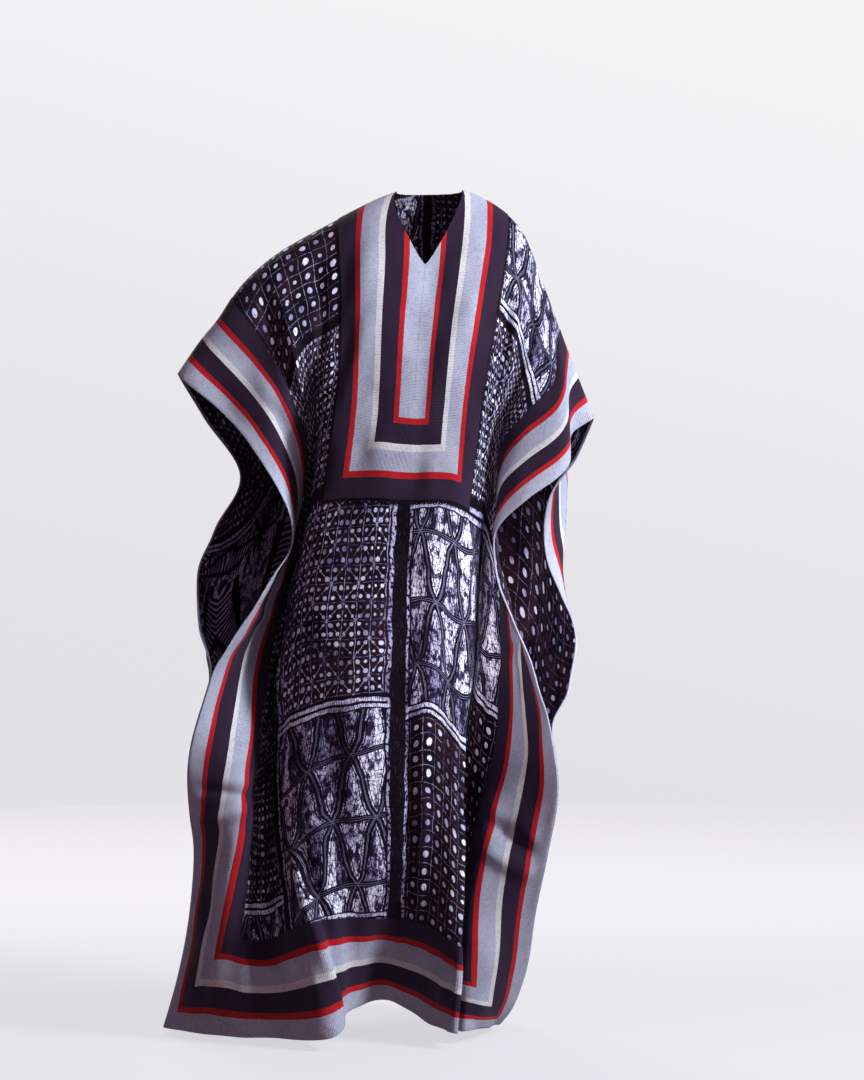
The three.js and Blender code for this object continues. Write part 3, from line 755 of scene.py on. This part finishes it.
def makePrint(name, plan, dullness):
    material, tree, shader = newMaterial(name, printed["roughness"], printed["gloss"])
    flatS, flatT, s, t = printPlace(tree)
    streaks = noise(tree, s / 1.7, t / 15, 3, 0.65)
    fray = (noise(tree, s / 2.6, t / 3.4, 3, 0.7) - 0.5) * printed["fray"]
    pattern, brown = drawSquares(tree, plan, s, t, pasteMarks(tree, s, t, streaks), fray)
    pattern = pattern.most(under(streaks, 0.36, 0.03) * 0.3)  # faint streaks between the squares too
    if plan != "inside":
        sideEnd, footEnd = printed["edge"]
        past = (flatS.abs() - sideEnd).most(flatT - footEnd)
        if plan == "front":
            sideEnd, footEnd = printed["placketEdge"]
            past = past.most((flatS.abs() * -1 + sideEnd).least(flatT * -1 + footEnd))
        pattern = pattern * under(past + fray * 2, -7, 1.5)
    ticks = under(noise(tree, s / 2.2, t / 11, 2, 0.6), 0.36, 0.05)
    faded = under(noise(tree, s / 70, t / 85 + 3, 2), 0.42, 0.12)
    pale = pattern * (ticks * -0.5 + 1) * (faded * -0.35 + 1)
    dye = tree.nodes.new("ShaderNodeValToRGB")
    points = dye.color_ramp.elements
    while len(points) < len(printed["dye"]):
        points.new(0.5)
    for point, (place, tint) in zip(points, printed["dye"]):
        point.position, point.color = place, tint
    tree.links.new((pale * (1 - dullness)).socket, dye.inputs["Fac"])
    maroon = brown * under(noise(tree, s / 80 + 5, t / 90, 2), 0.52, 0.16)
    ground = mixed(tree, maroon, printed["ground"], printed["brown"])
    shown = mixed(tree, under(pale, 0.1, 0.08), dye.outputs["Color"], ground)
    tree.links.new(shown, shader.inputs["Base Color"])
    weave = (s * printed["weave"]).sine() * (t * printed["weave"]).sine()
    bump(tree, shader, weave * 0.4 + noise(tree, s / 2, t / 2, 3) + pattern * 0.3, printed["relief"])
    return material


floorLook = {
    "paint": (0.11, 0.11, 0.113, 1), "glowNear": colour(210, 209, 216), "glowFar": colour(227, 226, 232),
    "glowEdge": colour(219, 218, 224), "nearEnd": 0.3, "farEnd": 1.9, "fade": (3.1, 1.05),
}


# The floor lies in its own pale light, a little brighter behind the kaftan, and fades to the wall.
def makeFloorPaint():
    material, tree, shader = newMaterial("floorPaint", 0.8, 0.1)
    shader.inputs["Base Color"].default_value = floorLook["paint"]
    place, parts = tree.nodes.new("ShaderNodeTexCoord"), tree.nodes.new("ShaderNodeSeparateXYZ")
    tree.links.new(place.outputs["Object"], parts.inputs[0])
    middle = (floorLook["nearEnd"] + floorLook["farEnd"]) / 2
    depth = Wire(tree, parts.outputs["Y"])
    near = under(depth, middle, middle - floorLook["nearEnd"])
    glow = mixed(tree, near, floorLook["glowFar"], floorLook["glowNear"])
    glow = mixed(tree, under(depth, *floorLook["fade"]), floorLook["glowEdge"], glow)
    tree.links.new(glow, shader.inputs["Emission Color"])
    shader.inputs["Emission Strength"].default_value = 1
    return material


bandCloth = makeBandCloth()
frontPrint, backPrint = makePrint("frontPrint", "front", 0), makePrint("backPrint", "back", 0)
insidePrint = makePrint("insidePrint", "inside", 0.18)
floorPaint = makeFloorPaint()
print("materials mixed")

# Flat pattern pieces: x and y lie in the cloth, z is the height above its inner face.
sideEdge = cloth["halfWidth"] - band["setBack"]
hemEdge = cloth["length"] - band["setBack"]
sideInner = sideEdge - band["width"]
hemInner = hemEdge - band["width"]
placketFoot = placket["depth"] - placket["halfWidth"]
placketRows = (neck["backDepth"], neck["frontDepth"], placketFoot, placket["depth"])


def linesTo(start, *ends):
    lines = [float(start)]
    for end in ends:
        cells = max(1, round((end - lines[-1]) / cloth["cell"]))
        lines += list(np.linspace(lines[-1], end, cells + 1)[1:])
    return lines


def bothWays(lines):
    return [-line for line in lines[:0:-1]] + lines


def flatSheet(across, down):
    bm = bmesh.new()
    columns, rows = len(across) - 1, len(down) - 1
    bmesh.ops.create_grid(bm, x_segments=columns, y_segments=rows, size=0.5)
    for vert in bm.verts:
        column = round((vert.co.x + 0.5) * columns)
        row = round((vert.co.y + 0.5) * rows)
        vert.co = (across[column], down[row], 0)
    return bm


def cutAway(bm, point, normal):
    geom = bm.verts[:] + bm.edges[:] + bm.faces[:]
    bmesh.ops.bisect_plane(bm, geom=geom, dist=0.01, plane_co=(*point, 0), plane_no=(*normal, 0),
                           clear_outer=True)


def frontNeck(t):
    return neck["halfWidth"] * max(0, 1 - (t / neck["frontDepth"]) ** neck["frontPower"])


def backNeck(t):
    return neck["halfWidth"] * math.sqrt(max(0, 1 - (t / neck["backDepth"]) ** 2))


def openNeck(bm, halfWidthAt, depth):
    slit = [edge for edge in bm.edges
            if all(abs(vert.co.x) < 0.01 and vert.co.y < depth + 0.01 for vert in edge.verts)]
    bmesh.ops.split_edges(bm, edges=slit)
    sides = {vert: sum(face.calc_center_median().x for face in vert.link_faces) for vert in bm.verts}
    for vert, side in sides.items():
        size, opening = abs(vert.co.x), halfWidthAt(vert.co.y)
        if opening > 0 and size < placket["halfWidth"]:
            vert.co.x = math.copysign(opening + size * (1 - opening / placket["halfWidth"]), side)


# Gives a flat piece its thickness and returns the size and area that it was cut to, in metres.
def thicken(bm, inner, outer):
    corners = np.array([vert.co[:2] for vert in bm.verts])
    wide, tall = (corners.max(axis=0) - corners.min(axis=0)) * mm
    area = sum(face.calc_area() for face in bm.faces) * mm**2
    bmesh.ops.solidify(bm, geom=bm.faces[:], thickness=outer - inner)
    middle = sum(vert.co.z for vert in bm.verts) / len(bm.verts)
    for vert in bm.verts:
        vert.co.z = outer if vert.co.z > middle else inner
    bmesh.ops.recalc_face_normals(bm, faces=bm.faces[:])
    return {"flat": (wide, tall), "area": area}


# Hangs a flat piece: place gives s, t and height for the flat x, y and z; layout gives its UVs in metres.
def hangPiece(name, node, panel, bm, place, layout, materials, insideMaterial=0):
    uvs = bm.loops.layers.uv.new("cloth")
    for face in bm.faces:
        face.smooth = True
        face.material_index = insideMaterial if face.normal.z < -0.5 else 0
        for loop in face.loops:
            loop[uvs].uv = [value * mm for value in layout(loop.vert.co)]
    for edge in bm.edges:
        first, second = edge.link_faces
        edge.smooth = first.normal.dot(second.normal) > 0.5
    flat = np.array([vert.co[:] for vert in bm.verts])
    for vert, point in zip(bm.verts, hang(panel, *place(*flat.T))):
        vert.co = point
    if bm.calc_volume(signed=True) < 0:
        bmesh.ops.reverse_faces(bm, faces=bm.faces[:])
    mesh = bpy.data.meshes.new(name)
    bm.to_mesh(mesh)
    bm.free()
    for material in materials:
        mesh.materials.append(material)
    piece = bpy.data.objects.new(name, mesh)
    bpy.context.collection.objects.link(piece)
    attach(piece, "root")
    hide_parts(node)
    return piece


# A band's folded edge: flat places below 0 turn round the panel's edge and lie under it.
def foldedEdge(across, height):
    middle = (cloth["inner"] + cloth["outer"]) / 2
    bend = (band["inner"] + band["outer"]) / 2 - middle
    angle = np.clip(-across / bend, 0, math.pi)
    under = np.clip(-across - math.pi * bend, 0, None)
    radius = height - middle
    return np.maximum(across, 0) + under - radius * np.sin(angle), middle + radius * np.cos(angle)


def bandLines():
    middle = (cloth["inner"] + cloth["outer"]) / 2
    half = math.pi * ((band["inner"] + band["outer"]) / 2 - middle)
    bend = [-half * share for share in (1, 0.75, 0.5, 0.25)]
    return [-half - band["turnIn"]] + bend + linesTo(0, band["width"])


def panelPiece(panel, neckAt, depth, materials):
    down = linesTo(0, *placketRows, hemInner, hemEdge)
    bm = flatSheet(bothWays(linesTo(0, placket["halfWidth"], sideInner, sideEdge)), down)
    openNeck(bm, neckAt, depth)
    cut = thicken(bm, cloth["inner"], cloth["outer"])
    piece = hangPiece(f"{panel}Cloth", f"{panel}_panel", panel, bm,
                      lambda x, y, z: (x, y, z), lambda co: (co.x, co.y), materials, 1)
    return piece, cut


def sideBand(panel, name, side):
    bm = flatSheet(bandLines(), linesTo(0, hemInner, hemEdge))
    cutAway(bm, (0, hemEdge), (1, 1))
    cutAway(bm, (0, hemEdge), (-1, 1))
    thicken(bm, band["inner"], band["outer"])

    def place(x, y, z):
        inwards, height = foldedEdge(x, z)
        return side * (sideEdge - inwards), y, height

    return hangPiece(f"{panel}Band{name}", f"{panel}_band_{name.lower()}", panel, bm,
                     place, lambda co: (co.y, co.x), [bandCloth])


def hemBand(panel):
    across = bothWays(linesTo(0, placket["halfWidth"], sideInner, sideEdge))
    bm = flatSheet(bandLines(), across)
    for normal in ((1, 1), (-1, 1)):
        cutAway(bm, (0, sideEdge), normal)
        cutAway(bm, (0, -sideEdge), (normal[0], -1))
    thicken(bm, band["inner"], band["outer"])

    def place(x, y, z):
        inwards, height = foldedEdge(x, z)
        return y, hemEdge - inwards, height

    return hangPiece(f"{panel}BandHem", f"{panel}_band_hem", panel, bm,
                     place, lambda co: (co.y, co.x), [bandCloth])


def placketHalf(name, side):
    bm = flatSheet(linesTo(0, placket["halfWidth"]), linesTo(0, *placketRows))
    cutAway(bm, (0, placketFoot), (-1, 1))
    for vert in bm.verts:
        opening = max(frontNeck(vert.co.y), placket["joint"] / 2)
        vert.co.x = opening + vert.co.x * (1 - opening / placket["halfWidth"])
    thicken(bm, band["inner"], band["outer"])
    return hangPiece(f"placket{name}", f"placket_{name.lower()}", "front", bm,
                     lambda x, y, z: (side * x, y, z), lambda co: (co.y, co.x), [bandCloth])


def placketEnd():
    bm = flatSheet(bothWays(linesTo(0, placket["halfWidth"])), linesTo(placketFoot, placket["depth"]))
    for normal in ((1, -1), (-1, -1)):
        cutAway(bm, (0, placketFoot), normal)
    thicken(bm, band["inner"], band["outer"])
    return hangPiece("placketFoot", "placket_foot", "front", bm,
                     lambda x, y, z: (x, y, z), lambda co: (co.x, co.y - placketFoot), [bandCloth])


frontCloth, frontCut = panelPiece("front", frontNeck, neck["frontDepth"], [frontPrint, insidePrint])
backCloth, backCut = panelPiece("back", backNeck, neck["backDepth"], [backPrint, insidePrint])
sewnOn = {panel: [sideBand(panel, "Left", -1), sideBand(panel, "Right", 1), hemBand(panel)]
          for panel in ("front", "back")}
sewnOn["front"] += [placketHalf("Left", -1), placketHalf("Right", 1), placketEnd()]
print("pieces cut and hung")

# Stage and light.
stage = {
    "floor": -1.503, "radius": 4.15, "fill": 0.16, "fillTint": (1, 0.6, 0.74, 1),
    "wallTop": colour(246, 246, 247), "wallFoot": colour(226, 225, 231),
    "wallTurn": 0.25, "wallEdge": (0.1, 0.2),
}


def makeFloor():
    bm = bmesh.new()
    bmesh.ops.create_circle(bm, cap_ends=True, segments=96, radius=stage["radius"])
    for vert in bm.verts:
        vert.co.z = stage["floor"]
    mesh = bpy.data.meshes.new("floor")
    bm.to_mesh(mesh)
    bm.free()
    mesh.materials.append(floorPaint)
    floor = bpy.data.objects.new("floor", mesh)
    bpy.context.collection.objects.link(floor)
    floor.visible_diffuse = False


# Lamps. Columns: name, place, what it points at, size, watts, tint.
lamps = [
    ("key", (2.7, -1.55, 0.9), (0, 0, -0.55), 0.8, 200, (0.95, 0.98, 1)),
    ("top", (1.9, -1.3, 1.8), (0.05, 0, -0.3), 1.0, 38, (0.84, 0.93, 1)),
    ("front", (0.7, -3.3, 0.3), (0, 0, -0.5), 0.9, 12, (1, 0.68, 0.8)),
    ("back", (-1.6, 3.0, 1.7), (0, 0, -0.7), 2.4, 105, (1, 0.97, 0.97)),
]
# A narrow one reaches the inside of the back through the right armhole.
spot = {
    "name": "side", "place": (0.1, -4.3, -0.55), "target": (0.27, 0.1, -0.76), "angle": 8,
    "size": 0.15, "watts": 1300, "tint": (1, 0.9, 0.93),
}


def hangLamp(data, place, target, watts, tint):
    data.energy = watts
    data.color = tint
    lamp = bpy.data.objects.new(data.name, data)
    lamp.location = place
    direction = np.array(target) - np.array(place)
    lamp.rotation_euler = Vector(direction).to_track_quat("-Z", "Y").to_euler()
    bpy.context.collection.objects.link(lamp)


def makeLamp(name, place, target, size, watts, tint):
    data = bpy.data.lights.new(name, "AREA")
    data.shape = "DISK"
    data.size = size
    hangLamp(data, place, target, watts, tint)


def makeSpot(name, place, target, angle, size, watts, tint):
    data = bpy.data.lights.new(name, "SPOT")
    data.spot_size = math.radians(angle)
    data.spot_blend = 1
    data.shadow_soft_size = size
    hangLamp(data, place, target, watts, tint)


# A dim even light. What the camera sees behind it is a pale wall, a little brighter high up.
def makeWorld():
    world = bpy.data.worlds.new("studio")
    world.use_nodes = True
    tree = world.node_tree
    wall, fill = tree.nodes["Background"], tree.nodes.new("ShaderNodeBackground")
    fill.inputs["Color"].default_value = stage["fillTint"]
    fill.inputs["Strength"].default_value = stage["fill"]
    place, parts = tree.nodes.new("ShaderNodeTexCoord"), tree.nodes.new("ShaderNodeSeparateXYZ")
    tree.links.new(place.outputs["Generated"], parts.inputs[0])
    rise, right = Wire(tree, parts.outputs["Z"]), Wire(tree, parts.outputs["X"])
    low = under(rise + right * stage["wallTurn"], *stage["wallEdge"])
    tree.links.new(mixed(tree, low, stage["wallTop"], stage["wallFoot"]), wall.inputs["Color"])
    seen, choice = tree.nodes.new("ShaderNodeLightPath"), tree.nodes.new("ShaderNodeMixShader")
    tree.links.new(seen.outputs["Is Camera Ray"], choice.inputs["Fac"])
    tree.links.new(fill.outputs[0], choice.inputs[1])
    tree.links.new(wall.outputs[0], choice.inputs[2])
    tree.links.new(choice.outputs[0], tree.nodes["World Output"].inputs["Surface"])
    bpy.context.scene.world = world


makeFloor()
for name, *settings in lamps:
    makeLamp(name, *settings)
makeSpot(**spot)
makeWorld()
bpy.context.scene.view_settings.view_transform = "Standard"
print("stage lit")
